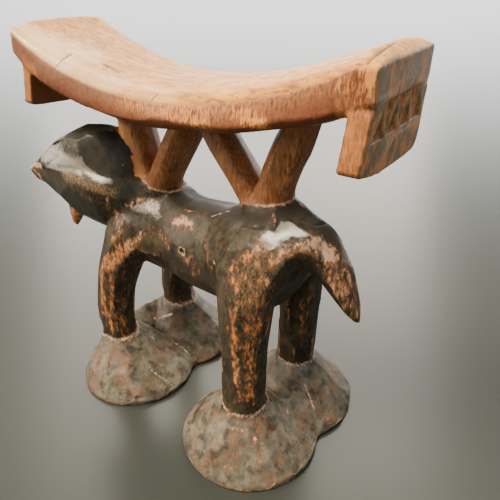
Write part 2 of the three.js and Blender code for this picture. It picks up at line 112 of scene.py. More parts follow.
point_count = len(skin.vertices)
flat = np.empty(point_count * 3, np.float32)
skin.vertices.foreach_get("co", flat)
points = flat.reshape(-1, 3).astype(float) * METRE
ends = np.empty(len(skin.edges) * 2, np.int32)
skin.edges.foreach_get("vertices", ends)
ends = ends.reshape(-1, 2)
neighbour_count = np.bincount(ends.ravel(), minlength=point_count)
quads = np.empty(len(skin.loops), np.int32)
skin.loops.foreach_get("vertex_index", quads)
quads = quads.reshape(-1, 4)
everywhere = np.ones(point_count)


def neighbour_mean(values):
    """The mean of each point's neighbours, for rows of numbers."""
    columns = []
    for column in values.T:
        total = np.bincount(ends[:, 0], column[ends[:, 1]], point_count)
        total += np.bincount(ends[:, 1], column[ends[:, 0]], point_count)
        columns.append(total / neighbour_count)
    return np.stack(columns, 1)


def eased(values, weight, rounds):
    """Values drawn towards their neighbours, more where the weight is near one."""
    for _ in range(rounds):
        values = values + 0.5 * weight[:, None] * (neighbour_mean(values) - values)
    return values


def eased_mask(mask, rounds):
    return eased(mask.astype(float)[:, None], everywhere, rounds)[:, 0]


def unit(rows):
    return rows / np.maximum(np.linalg.norm(rows, axis=-1, keepdims=True), 1e-9)


def outward():
    """The outward direction at every point, from the faces around it."""
    skin.vertices.foreach_set("co", (points / METRE).astype(np.float32).ravel())
    skin.update()
    normals = np.empty(point_count * 3, np.float32)
    skin.vertex_normals.foreach_get("vector", normals)
    return normals.reshape(-1, 3).astype(float)


def step(low, high, values):
    """A soft step from 0 at low to 1 at high."""
    share = np.clip((values - low) / (high - low), 0, 1)
    return share * share * (3 - 2 * share)


def line_reach(line, places):
    """Distance to a bent line, the nearest place on it, and the way the line runs there."""
    line = np.asarray(line, float)
    best = np.full(len(places), np.inf)
    nearest = np.zeros((len(places), 3))
    way = np.zeros((len(places), 3))
    for a, b in zip(line[:-1], line[1:]):
        run = b - a
        length = max(np.linalg.norm(run), 1e-6)
        share = np.clip((places - a) @ run / length**2, 0, 1)
        place = a + share[:, None] * run
        reach = np.linalg.norm(places - place, axis=1)
        closer = reach < best
        best[closer] = reach[closer]
        nearest[closer] = place[closer]
        way[closer] = run / length
    return best, nearest, way


# The limbs
# Every part of the animal and its load has a middle line. It tells which part a point of the
# skin belongs to, and which way the knife ran there. Each line comes with the part's radius and
# the length and width of the knife's cuts on it.
HEAD_TURN = math.radians(30)
HEAD_NECK = np.array([-40.6, -6.0, 0.0])
HEAD_FORWARD = np.array([-math.cos(HEAD_TURN), -math.sin(HEAD_TURN), 0.0])


def head_place(forward, height):
    return HEAD_NECK + forward * HEAD_FORWARD + np.array([0, 0, height])


def both_sides(name, line, *sizes):
    """The same limb on the animal's left and right side."""
    return {
        f"{side}_{name}": ([(x, y * turn, z) for x, y, z in line], *sizes)
        for side, turn in (("left", -1), ("right", 1))
    }


middle_lines = {
    "trunk": ([(-44, 0, 90), (-10, 0, 83), (30, 0, 89), (50, 0, 98)], 21, 17, 10),
    "neck": ([(-32, 0, 96), (-46, -6, 104)], 15, 13, 9),
    "head": ([head_place(4, 106), head_place(22, 107), head_place(48, 109)], 17, 15, 10),
    "beard": ([head_place(29, 90), head_place(30.3, 79)], 3.5, 8, 3.2),
    "tail": ([(57, 0, 102), (65, 0, 96), (72, 0, 84), (78, 0, 74)], 6.5, 24, 6),
    **both_sides(
        "haunch", [(40, 15.5, 84), (46.4, 15, 92), (52, 12, 100), (60, 4.2, 100)], 6, 14, 6
    ),
    **both_sides(
        "front_leg", [(-44, 21, 26), (-45, 21, 40), (-40, 19.5, 66), (-31, 15, 84)], 9.5, 24, 6.2
    ),
    **both_sides("rear_leg", [(39, 20, 26), (39, 20, 62), (39.4, 16, 94)], 10.5, 26, 6.6),
    **both_sides("front_foot", [(-36.1, 17.9, 1), (-43, 21, 20)], 20, 15, 9),
    **both_sides("rear_foot", [(39.2, 17, 1), (39, 20, 20)], 21, 15, 9),
    "front_post_ahead": ([(-31, 0, 112), (-41.6, 0, 150)], 8, 34, 7),
    "front_post_behind": ([(-26, 0, 108), (1.7, 0, 148)], 8, 34, 7),
    "rear_post_ahead": ([(35, 0, 114), (3.2, 0, 146)], 8, 34, 7),
    "rear_post_behind": ([(35, 0, 114), (52.4, 0, 154)], 8, 34, 7),
}
part_names = list(middle_lines)
PILLOW_TURN = math.radians(3.9)
PILLOW_MIDDLE = 2.9
PILLOW_ALONG = np.array([math.cos(PILLOW_TURN), math.sin(PILLOW_TURN), 0.0])
PILLOW_ACROSS = np.array([-math.sin(PILLOW_TURN), math.cos(PILLOW_TURN), 0.0])
from_middle = points - np.array([PILLOW_MIDDLE, 0, 0])
along_pillow = from_middle @ PILLOW_ALONG
across_pillow = from_middle @ PILLOW_ACROSS
pillow_under = 140 + 0.0027 * (along_pillow + 8) ** 2
LUG_INNER_EDGE = 68
LUG_LOWEST = 133
PILLOW_LOWEST = 134
is_lug = (np.abs(along_pillow) > LUG_INNER_EDGE) & (points[:, 2] > LUG_LOWEST)
is_pillow = (points[:, 2] > pillow_under - 0.8) & (points[:, 2] > PILLOW_LOWEST) | is_lug

reach = np.empty((len(part_names), point_count))
part_nearest = np.empty((len(part_names), point_count, 3))
part_way = np.empty((len(part_names), point_count, 3))
for row, (line, radius, _, _) in enumerate(middle_lines.values()):
    distance, part_nearest[row], part_way[row] = line_reach(line, points)
    reach[row] = distance / radius
FOOT_TOP = 24.6
POST_FOOT = {"front": (106.4, -21.0, -0.3), "rear": (113.6, 35.0, 0.2)}
above_ring = {
    end: points[:, 2] - height - slope * (points[:, 0] - middle)
    for end, (height, middle, slope) in POST_FOOT.items()
}
front_post_middle = -35.4 - 0.2255 * (points[:, 2] - 101)
for row, name in enumerate(part_names):
    if "foot" in name:
        reach[row, points[:, 2] > FOOT_TOP] = np.inf
    elif "post" in name:
        foot_gap = above_ring[name.split("_")[0]]
        reach[row, foot_gap < 0] = np.inf
        beside_head = (points[:, 0] < front_post_middle - 9.2) | (points[:, 1] < -10.2)
        off_head = (reach[part_names.index("head")] > 1.1) | ~beside_head
        reach[row, (foot_gap > 0) & (foot_gap < 9) & (reach[row] < 1.5) & off_head] *= 0.2
    else:
        reach[row, points[:, 2] < FOOT_TOP] = np.inf
order = np.argsort(reach, axis=0)
part = order[0]
nearest_two = np.take_along_axis(reach, order[:2], 0)
between = nearest_two[1] - nearest_two[0]
part_of = {name: (part == row) & ~is_pillow for row, name in enumerate(part_names)}


def parts(*words):
    """The points of every part whose name holds one of the words."""
    named = [name for name in part_names if any(word in name for word in words)]
    return np.any([part_of[name] for name in named], axis=0)


is_post = parts("post")
is_foot = parts("foot")
is_head = parts("head")
is_body = ~(is_post | is_foot | is_pillow)
feet_axis = np.take_along_axis(part_nearest, part[None, :, None], 0)[0]
knife_way = np.take_along_axis(part_way, part[None, :, None], 0)[0]
from_foot_axis = unit((points - feet_axis) * np.array([1, 1, 0]))
knife_way[is_foot] = (0.8 * from_foot_axis - np.array([0, 0, 0.6]))[is_foot]
knife_way[is_pillow] = PILLOW_ALONG
knife_way[is_lug] = (0, 0, 1)
cut_sizes = np.array([sizes[2:] for sizes in middle_lines.values()], float)[part]
PILLOW_CUT = (38, 12)
cut_sizes[is_pillow] = PILLOW_CUT

# The joins of the animal's limbs are worked over with the knife until they run into each other.
JOIN_ROUNDS = 26
join_weight = is_body * (1 - step(0.25, 0.8, between)) * step(50, 62, points[:, 2])
join_weight = eased_mask(join_weight, 6) * is_body
points = eased(points, join_weight, JOIN_ROUNDS)
EVEN_ROUNDS = 5
points = eased(points, np.where(is_lug, 0.25, 0.9), EVEN_ROUNDS)

# The collars
# Under each post the back swells into a low collar. The knife went round the post's foot, so the
# post stands a little inside a fresh pale ring.
COLLAR_MIDDLE = {"front": -26, "rear": 35.0}
COLLAR_REACH = 17
COLLAR_HALF_WIDTH = 13
COLLAR_HEIGHT = 8
COLLAR_SWELL = 0.9
LEVEL_TOP = 0.93
RING_BITE = 0.45
ring_near = np.zeros(point_count)
facing = outward()
for end, gap in above_ring.items():
    near = np.abs(points[:, 0] - COLLAR_MIDDLE[end]) < COLLAR_REACH
    near &= (np.abs(points[:, 1]) < COLLAR_HALF_WIDTH) & (np.abs(gap) < COLLAR_HEIGHT)
    near &= np.abs(facing[:, 2]) < LEVEL_TOP
    swelling = near * is_body * step(-6, -0.6, gap) * COLLAR_SWELL
    bite = near * np.exp(-(((gap - 0.7) / 0.8) ** 2)) * RING_BITE
    points += facing * (swelling - bite)[:, None]
    ring_near = np.maximum(ring_near, near * ~is_head * np.exp(-(((gap - 0.2) / 0.5) ** 2)))

facing = outward()
smooth_facing = unit(eased(facing, everywhere, 12))

# Knife facets
# The work is finished in flat knife cuts that meet in low ridges. Every cut takes in the skin
# around one place, longer along the limb than across it, and the skin is then drawn flat in it.
FACING_WEIGHT = 1.7
CUT_LEAN = 0.05
DEEPEST_CUT = 0.9
DEEPEST_CLEAR_CUT = 1.6
CLEAR_REACH = 24
FIT_ROUNDS = 30
CANDIDATES = 12000
WINDOW = np.array([-0.50, 0.62, 0.60])
CEILING = np.array([-0.16, -0.40, 0.90])
to_camera = np.array([0.49, -0.73, 0.48])
glance = unit(CEILING + to_camera)
random = np.random.default_rng(7)

# Cuts that show clearly: the pixels of their corners, how far each one turns to catch the ceiling
# light, and how much it is polished and painted grey as glare.
CLEAR_CUTS = [
    ([(43, 164), (44, 156), (52, 147), (61, 143), (63, 152), (59, 157), (50, 163)], 0.45, 0.62),
    ([(61, 143), (69, 141), (78, 141), (79.5, 149), (81, 157), (72, 157.5), (63, 152)],
     0.12, 0.3),
    ([(59, 157), (63, 152), (72, 157.5), (81, 157), (84, 163), (80, 168), (68, 165), (52, 164)],
     0.78, 1.0),
    ([(84, 163), (92, 170.5), (101, 177), (114, 181), (113, 186), (101, 185.5),
      (90, 178), (80, 168)],
     0.78, 1.0),
    ([(47, 165), (52, 164), (68, 165), (80, 168), (90, 178), (76, 174), (60, 172), (47, 170)],
     0.4, 0.5),
    ([(78, 141), (88, 133), (100, 140), (107, 158), (114, 173), (101, 177), (84, 163), (81, 157)],
     -0.05, 0.0),
    ([(88, 133), (112, 131), (123, 146), (129, 166), (124, 180), (114, 173),
      (107, 158), (100, 140)],
     -0.1, 0.05),
    ([(276, 232), (281, 222), (292, 223.5), (303, 230), (312, 237), (301, 239),
      (292, 237), (285, 236)],
     0.95, 1.0),
    ([(258, 240), (268, 231), (276, 232), (285, 236), (292, 237), (286, 243),
      (277, 246), (269, 252)],
     0.62, 0.72),
    ([(234, 227), (247, 229), (250, 240), (243, 253), (232, 250), (229, 238)], -0.1, 0.12),
    ([(247, 229), (264, 230), (258, 240), (264, 247), (256, 252), (250, 240)], 0.12, 0.2),
    ([(133, 208), (141, 203), (152, 203), (160, 208), (157, 213), (146, 215), (136, 213)],
     0.3, 0.34),
    ([(160, 208), (168, 201), (180, 204), (184, 214), (172, 219)], 0.12, 0.1),
    ([(316, 246), (325, 243), (331, 251), (332, 261), (324, 262), (317, 254)], 0.3, 0.42),
    ([(130, 366), (138, 364), (143, 380), (141, 394), (133, 394)], 0.22, 0.25),
    ([(214, 418), (228, 418), (224, 436), (218, 450), (206, 446)], 0.12, 0.1),
    ([(248, 424), (262, 424), (272, 446), (268, 460), (254, 458)], 0.0, 0.0),
]
BODY_FLATNESS = 0.78
HEAD_FLATNESS = 0.86
FOOT_FLATNESS = 0.7
POST_FLATNESS = 0.55
CLEAR_FLATNESS = 0.88
SOLE_HEIGHT = 1.5
flatness = np.where(is_body, BODY_FLATNESS, 0.0)
flatness[is_head] = HEAD_FLATNESS
flatness[is_foot] = FOOT_FLATNESS
flatness[is_post] = POST_FLATNESS
top_share = step(0.25, 0.7, smooth_facing[:, 2])
flatness[is_pillow] = (POST_FLATNESS * (1 - top_share))[is_pillow]
flatness[is_lug] = 0
flatness[points[:, 2] < SOLE_HEIGHT] = 0
flatness = eased_mask(flatness, 4)
knife_way -= smooth_facing * np.einsum("ij,ij->i", knife_way, smooth_facing)[:, None]
knife_way = unit(eased(unit(knife_way), everywhere, 8))
cut_sizes = eased(cut_sizes, everywhere, 8)


def cut_distance(rows, seeds):
    """How far points lie from each cut's place, counted in that cut's own length and width."""
    gap = points[rows][:, None].astype(np.float32) - points[seeds][None].astype(np.float32)
    along = np.einsum("ijk,jk->ij", gap, knife_way[seeds].astype(np.float32))
    square = np.einsum("ijk,ijk->ij", gap, gap)
    seed_facing = smooth_facing[seeds].T.astype(np.float32)
    turned = 1 - smooth_facing[rows].astype(np.float32) @ seed_facing
    length, width = cut_sizes[seeds].T.astype(np.float32)
    return (along / length) ** 2 + (square - along**2) / width**2 + FACING_WEIGHT * turned


def seen_inside(corners):
    """The points that show within a closed outline of pixels, and the place in its middle."""
    middle = seen_place(np.mean(corners, axis=0))
    from_view = points / METRE - np.array(view_from)
    across, up, back = (from_view @ np.array(view_turn)).T
    x = PHOTO_MIDDLE[0] - FOCAL_PIXELS * across / back
    y = PHOTO_MIDDLE[1] + FOCAL_PIXELS * up / back
    inside = np.zeros(point_count, bool)
    for (x_a, y_a), (x_b, y_b) in zip(corners, corners[1:] + corners[:1]):
        if y_a != y_b:
            inside ^= ((y_a > y) != (y_b > y)) & (x < x_a + (x_b - x_a) * (y - y_a) / (y_b - y_a))
    inside &= np.einsum("ij,ij->i", smooth_facing, from_view) < 0
    return inside & (np.linalg.norm(points - middle, axis=1) < CLEAR_REACH), middle


seeds = []
seed_glance = []
clear_cuts = []
for corners, share, _ in CLEAR_CUTS:
    inside, middle = seen_inside(corners)
    clear_cuts.append(inside)
    seeds.append(int(((points - middle) ** 2).sum(1).argmin()))
    seed_glance.append(share)
for row in random.permutation(np.flatnonzero(flatness > 0.2))[:CANDIDATES]:
    if cut_distance(np.array([row]), np.array(seeds)).min() > 1:
        seeds.append(int(row))
        seed_glance.append(0.0)
seeds = np.array(seeds)
seed_glance = np.array(seed_glance)
plain_seeds = seeds[len(CLEAR_CUTS):]
cell = len(CLEAR_CUTS) + np.concatenate([
    cut_distance(rows, plain_seeds).argmin(axis=1)
    for rows in np.array_split(np.arange(point_count), 1 + point_count // 3000)
])
for row, inside in enumerate(clear_cuts):
    cell[inside] = row
is_clear = cell < len(clear_cuts)
deepest = np.where(is_clear, DEEPEST_CLEAR_CUT, DEEPEST_CUT)
flatness = np.where(is_clear, eased_mask(is_clear, 2) * CLEAR_FLATNESS, flatness)


def cell_means(values):
    counts = np.maximum(np.bincount(cell, minlength=len(seeds)), 1)
    return np.stack([np.bincount(cell, column, len(seeds)) / counts for column in values.T], 1)


cell_facing = unit(cell_means(smooth_facing)) + random.normal(0, CUT_LEAN, (len(seeds), 3))
cell_facing = unit(cell_facing) * (1 - seed_glance[:, None]) + glance * seed_glance[:, None]
cell_facing = unit(cell_facing)
cell_tone = random.random(len(seeds))
facet_tone = cell_tone[cell]
cell_polish_and_glare = np.zeros(len(seeds))
cell_polish_and_glare[:len(CLEAR_CUTS)] = [polish_glare_mask for _, _, polish_glare_mask in CLEAR_CUTS]
facet_polish_and_glare = cell_polish_and_glare[cell]
off_plane = np.einsum("ij,ij->i", points - cell_means(points)[cell], cell_facing[cell])
off_plane = np.clip(off_plane, -deepest, deepest) * flatness
points -= cell_facing[cell] * off_plane[:, None]

quad_flatness = flatness[quads].mean(1)[:, None]
quad_facing = unit(smooth_facing[quads].mean(1))
quad_aim = cell_facing[cell[quads[:, 0]]] * quad_flatness + quad_facing * (1 - quad_flatness)
quad_aim = unit(quad_aim)
corner_of = quads.ravel()
corner_count = np.bincount(corner_of, minlength=point_count)
for _ in range(FIT_ROUNDS):
    corners = points[quads]
    gap = np.einsum("fi,fci->fc", quad_aim, corners.mean(1)[:, None] - corners)
    push = quad_aim[:, None] * gap[..., None]
    for axis in range(3):
        pushed = np.bincount(corner_of, push[..., axis].ravel(), point_count) / corner_count
        points[:, axis] += pushed * np.minimum(flatness * 3, 1)
points = eased(points, 0.9 * everywhere, 1)
facing = outward()
sharpness = np.einsum("ij,ij->i", points - neighbour_mean(points), facing) / NET
sharpness = eased_mask(sharpness, 2)
ridge = step(0.02, 0.09, sharpness) * step(0.2, 0.5, flatness)
crease = step(0.02, 0.12, -sharpness)

# The lugs
# Each lug hangs under an end of the pillow. Its outer face carries a row of chip-cut triangles,
# deep along their base and running out at their point; every other one points down.
LUGS = {
    "head": {
        "outer": -78.6, "lean": (-4.9, -3.4), "bottom": 137.8, "half": 23.5, "band": (143.5, 154)
    },
    "tail": {
        "outer": 79.5, "lean": (-3.0, -0.8), "bottom": 134.8, "half": 24.5, "band": (148, 160)
    },
}
LUG_TOP = 158
BAND_PITCH = 11
BAND_TRIANGLES = 4
BAND_HALF_BASE = 4.73
BAND_DEPTH = 1.6
BAND_TIP_DEPTH = 0.2
BAND_EDGE = 0.9
BAND_MARGIN = 1.5
FACE_SKIN = 2.3
chip_depth = np.zeros(point_count)
for end, lug in LUGS.items():
    outside = math.copysign(1, lug["outer"])
    half_way = (across_pillow / lug["half"] + 1) / 2
    lean = lug["lean"][0] + (lug["lean"][1] - lug["lean"][0]) * half_way
    face = lug["outer"] + lean * (LUG_TOP - points[:, 2]) / (LUG_TOP - lug["bottom"])
    low, high = lug["band"]
    depth = np.zeros(point_count)
    for k in range(2 * BAND_TRIANGLES - 1):
        middle = (k / 2 - (BAND_TRIANGLES - 1) / 2) * BAND_PITCH
        base, tip = (high, low + 1) if k % 2 else (low, high - 1)
        share = (points[:, 2] - base) / (tip - base)
        inside = BAND_HALF_BASE * (1 - share) - np.abs(across_pillow - middle)
        inside = np.minimum(inside, share * abs(tip - base))
        deep = BAND_DEPTH + (BAND_TIP_DEPTH - BAND_DEPTH) * share
        depth = np.maximum(depth, deep * step(-0.1, BAND_EDGE, inside))
    on_face = np.abs(along_pillow - face) < FACE_SKIN
    on_face &= np.abs(across_pillow) < lug["half"] - BAND_MARGIN
    on_face &= (points[:, 2] > low - BAND_MARGIN) & (points[:, 2] < high + BAND_MARGIN)
    wanted = face - outside * depth
    held = from_middle @ PILLOW_ALONG
    points += on_face[:, None] * PILLOW_ALONG * (wanted - held)[:, None]
    chip_depth = np.maximum(chip_depth, on_face * depth / BAND_DEPTH)

# Marks on the surface
# Rubbed places, scratches and cracks are lines drawn on the carving. Each is given by the pixels
# that it passes, its half width in millimetres and its strength.


def marked_line(pixels):
    found = [seen_place(pixel) for pixel in pixels]
    return [place for place in found if place is not None]


def stroke(line, half_width, strength=1.0):
    """How strongly each point is covered by one line on the skin."""
    line = np.asarray(line, float)
    if not len(line):
        return np.zeros(point_count)
    margin = half_width * 1.6 + 0.5
    near = np.all((points > line.min(0) - margin) & (points < line.max(0) + margin), axis=1)
    rows = np.flatnonzero(near)
    covered = np.zeros(point_count)
    if len(rows):
        ends_of = line if len(line) > 1 else np.vstack([line, line + 0.01])
        distance = line_reach(ends_of, points[rows])[0]
        covered[rows] = strength * (1 - step(0.1 * half_width, 1.6 * half_width, distance))
    return covered


def strokes(rows, mirrored=0.0):
    """The cover of many lines, and of their mirror images on the side that isn't seen."""
    covered = np.zeros(point_count)
    for pixels, half_width, strength in rows:
        line = marked_line(pixels)
        covered = np.maximum(covered, stroke(line, half_width, strength))
        if mirrored and line:
            other = np.array(line) * (1, -1, 1)
            covered = np.maximum(covered, stroke(other, half_width, strength * mirrored))
    return covered


def groove(cover, depth):
    """Sinks the skin under a stroke."""
    global points
    points = points - facing * (cover * depth)[:, None]


SCRATCHES = [
    ([(152, 371), (162, 378), (173, 386)], 0.35, 0.9),
    ([(175, 343), (184, 350), (193, 357)], 0.35, 0.7),
    ([(155, 319), (164, 317), (172, 315)], 0.7, 1.0),
    ([(283, 401), (290, 416), (299, 430), (308, 440)], 0.5, 0.95),
    ([(290, 400), (297, 412), (303, 424)], 0.3, 0.6),
    ([(305, 385), (312, 402), (320, 435)], 0.45, 0.8), ([(157, 351), (161, 347)], 0.3, 0.7),
    ([(255, 439), (255.5, 440)], 0.7, 0.9), ([(241, 456), (241.5, 457)], 0.5, 0.6),
    ([(215, 262), (216, 272)], 0.6, 0.8),
    ([(191, 226), (203, 221), (218, 215), (230, 212)], 0.35, 0.75),
    ([(153.5, 338), (154, 339)], 0.6, 0.9), ([(123, 166), (123.5, 166.5)], 0.4, 0.7),
    ([(57, 67), (63, 60), (72, 55)], 0.25, 0.25),
]
scratch = strokes(SCRATCHES)
groove(strokes(SCRATCHES[:8]), 0.2)
KNOT = (182.6, 252)
KNOT_RADIUS = 1.5
KNOT_DEPTH = 1.3
knot_place = seen_place(KNOT)
from_knot = np.linalg.norm(points - knot_place, axis=1)
knot_hole = 1 - step(0.5 * KNOT_RADIUS, KNOT_RADIUS, from_knot)
knot_ring = np.exp(-(((from_knot - 1.25 * KNOT_RADIUS) / 0.5) ** 2))
groove(knot_hole, KNOT_DEPTH)
CRACKS = [
    ([(57, 67), (63, 60), (72, 55)], 0.5, 0.9), ([(103, 65), (106, 66), (109, 68)], 0.5, 0.8),
    ([(150, 104), (153, 99), (158, 95)], 0.5, 0.9),
    ([(368, 64), (377, 56), (387, 49), (395, 44)], 0.6, 0.8),
    ([(108, 74), (140, 84), (176, 87)], 0.4, 0.55), ([(196, 70), (232, 79), (262, 78)], 0.4, 0.5),
    ([(262, 92), (300, 84), (330, 74)], 0.4, 0.5),
    ([(245, 228), (252, 229.5), (265, 228)], 0.8, 0.9),
    ([(315, 225), (322, 225), (329, 224)], 0.7, 0.9),
]
crack = strokes(CRACKS)
groove(crack, 0.35)
MOUTH = [(33, 169), (39, 170), (44, 170.5)]
mouth = strokes([(MOUTH, 0.45, 1.0), ([(44.5, 168), (44.5, 174)], 0.5, 1.0)])
groove(mouth, 0.5)
facing = outward()

# The finish
# The whole block was stained black-brown and has been handled since: the stain has gone from the
# pillow and the ridges, and dust has settled in the feet. Each coat is laid over the ones before.
finish = bpy.data.materials.new("carved wood")
finish.use_nodes = True
tree = finish.node_tree
shader = tree.nodes["Principled BSDF"]


def add_node(kind, **settings):
    node = tree.nodes.new(kind)
    for name, value in settings.items():
        setattr(node, name, value)
    return node


def feed(socket, value):
    """Joins a socket to another one, or sets it to a plain value."""
    if isinstance(value, bpy.types.NodeSocket):
        tree.links.new(value, socket)
    else:
        socket.default_value = value


def combine(operation, first, second, clamp=False):
    node = add_node("ShaderNodeMath", operation=operation, use_clamp=clamp)
    feed(node.inputs[0], first)
    feed(node.inputs[1], second)
    return node.outputs[0]


places = add_node("ShaderNodeTexCoord").outputs["Object"]


def speckle(size, stretch=(1, 1, 1), detail=3.0, roughness=0.55, seed=0.0):
    """A cloudy pattern from 0 to 1, its grains about so many millimetres wide."""
    mapping = add_node("ShaderNodeMapping")
    mapping.inputs["Scale"].default_value = [1 / value for value in stretch]
    mapping.inputs["Location"].default_value = (seed, 0, 0)
    feed(mapping.inputs["Vector"], places)
    noise = add_node("ShaderNodeTexNoise")
    noise.inputs["Scale"].default_value = METRE / size
    noise.inputs["Detail"].default_value = detail
    noise.inputs["Roughness"].default_value = roughness
    feed(noise.inputs["Vector"], mapping.outputs[0])
    return noise.outputs["Fac"]


def ranged(value, low, high, to_low=0.0, to_high=1.0, smooth=True):
    node = add_node("ShaderNodeMapRange", interpolation_type="SMOOTHSTEP" if smooth else "LINEAR")
    feed(node.inputs["Value"], value)
    node.inputs["From Min"].default_value = low
    node.inputs["From Max"].default_value = high
    node.inputs["To Min"].default_value = to_low
    node.inputs["To Max"].default_value = to_high
    return node.outputs[0]


marks = {}


def mark(name, values):
    """Keeps a number from 0 to 1 for every point of the skin, and gives it to the finish."""
    marks[name] = np.clip(values, 0, 1)
    node = add_node("ShaderNodeAttribute", attribute_name=name, attribute_type="GEOMETRY")
    return node.outputs["Fac"]


def frayed(mask, pattern, amount=0.9, edge=0.12, level=0.5):
    """A mask whose edge breaks up in a pattern. It stays empty where the mask is empty."""
    pushed = combine("MULTIPLY", combine("SUBTRACT", pattern, 0.5), amount)
    broken = ranged(combine("ADD", mask, pushed), level - edge, level + edge)
    return combine("MULTIPLY", broken, ranged(mask, 0.0, 0.2))


def blend(kind, mask, under, over):
    node = add_node("ShaderNodeMix", data_type=kind)
    factor, first, second, result = {"FLOAT": (0, 2, 3, 0), "RGBA": (0, 6, 7, 2)}[kind]
    feed(node.inputs[factor], mask)
    feed(node.inputs[first], under)
    feed(node.inputs[second], over)
    return node.outputs[result]


def paint(red, green, blue):
    return (red, green, blue, 1)


# The stain
# The animal is black-brown, in patches from olive grey to red brown that change from one knife
# facet to the next. It takes a dull shine where it has been handled.
STAIN = paint(0.022, 0.017, 0.011)
STAIN_OLIVE = paint(0.056, 0.046, 0.027)
STAIN_BROWN = paint(0.085, 0.047, 0.023)
STAIN_PALE = paint(0.20, 0.155, 0.10)
fibre = speckle(0.8, (1, 1, 10), detail=4.0)
fine = speckle(0.45, detail=4.0, roughness=0.7)
patch = speckle(4, (1, 1, 1.6), detail=6.0, roughness=0.7)
tone = mark("tone", eased_mask(facet_tone, 1))
olive = frayed(combine("ADD", combine("MULTIPLY", tone, 0.3), 0.35), patch, 3.2, 0.35)
coat = {"colour": blend("RGBA", olive, STAIN, STAIN_OLIVE), "roughness": 0.38, "shine": 0.12}


def lay(mask, colour, roughness, shine):
    """Lays a coat of a colour, roughness and shine over the ones before, where its mask is."""
    coat["colour"] = blend("RGBA", mask, coat["colour"], colour)
    coat["roughness"] = blend("FLOAT", mask, coat["roughness"], roughness)
    coat["shine"] = blend("FLOAT", mask, coat["shine"], shine)


brown_patch = speckle(3.5, (1, 1, 2.2), detail=6.0, roughness=0.7, seed=3.0)
lay(ranged(brown_patch, 0.52, 0.64), STAIN_BROWN, 0.42, 0.10)
pale_specks = speckle(0.7, (1, 1, 1.5), detail=4.0, roughness=0.7, seed=9.0)
lay(ranged(pale_specks, 0.66, 0.76), STAIN_PALE, 0.5, 0.05)
dark_specks = speckle(1.3, (1, 1, 2), detail=5.0, roughness=0.7, seed=12.0)
lay(ranged(dark_specks, 0.60, 0.70), STAIN, 0.45, 0.08)
HEAD_STAIN = paint(0.027, 0.027, 0.021)
head_mask = mark("head", eased_mask(is_head, 2))
lay(combine("MULTIPLY", head_mask, 0.6), HEAD_STAIN, 0.34, 0.2)

# Silver glare
# Some facets on the back, the shoulder, the haunch and the head are polished by handling; their
# grey colour is a painted highlight of the glare on them.
GLARE_GREY_PAINT = paint(0.20, 0.19, 0.15)
POLISHED_GLARE_STROKES = [
    ([(143, 209), (155, 208)], 2.6, 0.6), ([(48, 162), (60, 164)], 2.0, 0.6),
    ([(134, 375), (136, 385)], 2.4, 0.5), ([(322, 250), (328, 256)], 2.4, 0.5),
    ([(200, 208), (214, 206)], 2.0, 0.25),
]
polished = mark("polished", np.maximum(0.8 * strokes(POLISHED_GLARE_STROKES, 0.5), eased_mask(facet_polish_and_glare, 1)))
polish_glare_mask = frayed(polished, speckle(1.6, (1, 1, 1.6), detail=6.0, roughness=0.65), 1.1, 0.45, 0.5)
# The grey laid here is a painted highlight; the low roughness and strong coat are the polish.
lay(polish_glare_mask, GLARE_GREY_PAINT, 0.24, 0.9)
# Strips of the back under the pillow, of the flanks and of the haunch are dull, and are painted
# darker as the shade that falls on them.
DULL_SHADE_DARK = paint(0.030, 0.024, 0.016)
DULL_SHADE_STROKES = [
    ([(178, 200), (200, 204), (226, 211), (242, 214)], 5.5, 1.0),
    ([(240, 216), (262, 220), (290, 213), (303, 206)], 3.2, 0.9),
    ([(186, 212), (212, 210), (230, 216)], 4.0, 0.7),
    ([(150, 250), (185, 268), (214, 280)], 4.0, 0.8),
    ([(302, 208), (322, 224), (336, 246)], 4.0, 0.9),
]
dull = mark("dull", strokes(DULL_SHADE_STROKES, 0.8))
lay(frayed(combine("MULTIPLY", dull, 0.9), fine, 0.8, 0.4), DULL_SHADE_DARK, 0.7, 0.0)

# The pillow
# The top is rubbed to tan by use and shines, and its end over the head is painted pale as a
# highlight.
# The sides keep the red-brown wood, with upright fibres, pale specks low down and patches of bare
# orange;
# their lowest band and their tail end are painted darker as shade.
PILLOW_TAN = paint(0.50, 0.195, 0.038)
PILLOW_PALE = paint(0.76, 0.355, 0.065)
PILLOW_SIDE = paint(0.23, 0.075, 0.030)
PILLOW_SIDE_LIGHT = paint(0.70, 0.31, 0.125)
PILLOW_MAUVE = paint(0.20, 0.086, 0.052)
PILLOW_SHADE = paint(0.17, 0.052, 0.022)
pillow_mask = mark("pillow", eased_mask(is_pillow, 1))
top_share = step(0.3, 0.62, smooth_facing[:, 2]) * is_pillow
side_fibre = speckle(0.7, (1, 1, 5), detail=5.0, roughness=0.65)
side_coat = blend("RGBA", ranged(side_fibre, 0.36, 0.60), PILLOW_SIDE, PILLOW_SIDE_LIGHT)
lay(pillow_mask, side_coat, 0.5, 0.1)
upright = 1 - step(0.35, 0.6, smooth_facing[:, 2])
# Painted shade: the sides darken towards the tail end.
far_side = mark("far_side", step(5, 55, along_pillow) * upright)
lay(combine("MULTIPLY", far_side, combine("MULTIPLY", pillow_mask, 0.6)), PILLOW_SHADE, 0.5, 0.1)
head_side = mark("head_side", step(0, -38, along_pillow) * (smooth_facing[:, 2] < 0.6))
mauve = frayed(combine("MULTIPLY", head_side, 0.8), side_fibre, 1.4, 0.5)
lay(combine("MULTIPLY", mauve, combine("MULTIPLY", pillow_mask, 0.85)), PILLOW_MAUVE, 0.5, 0.1)
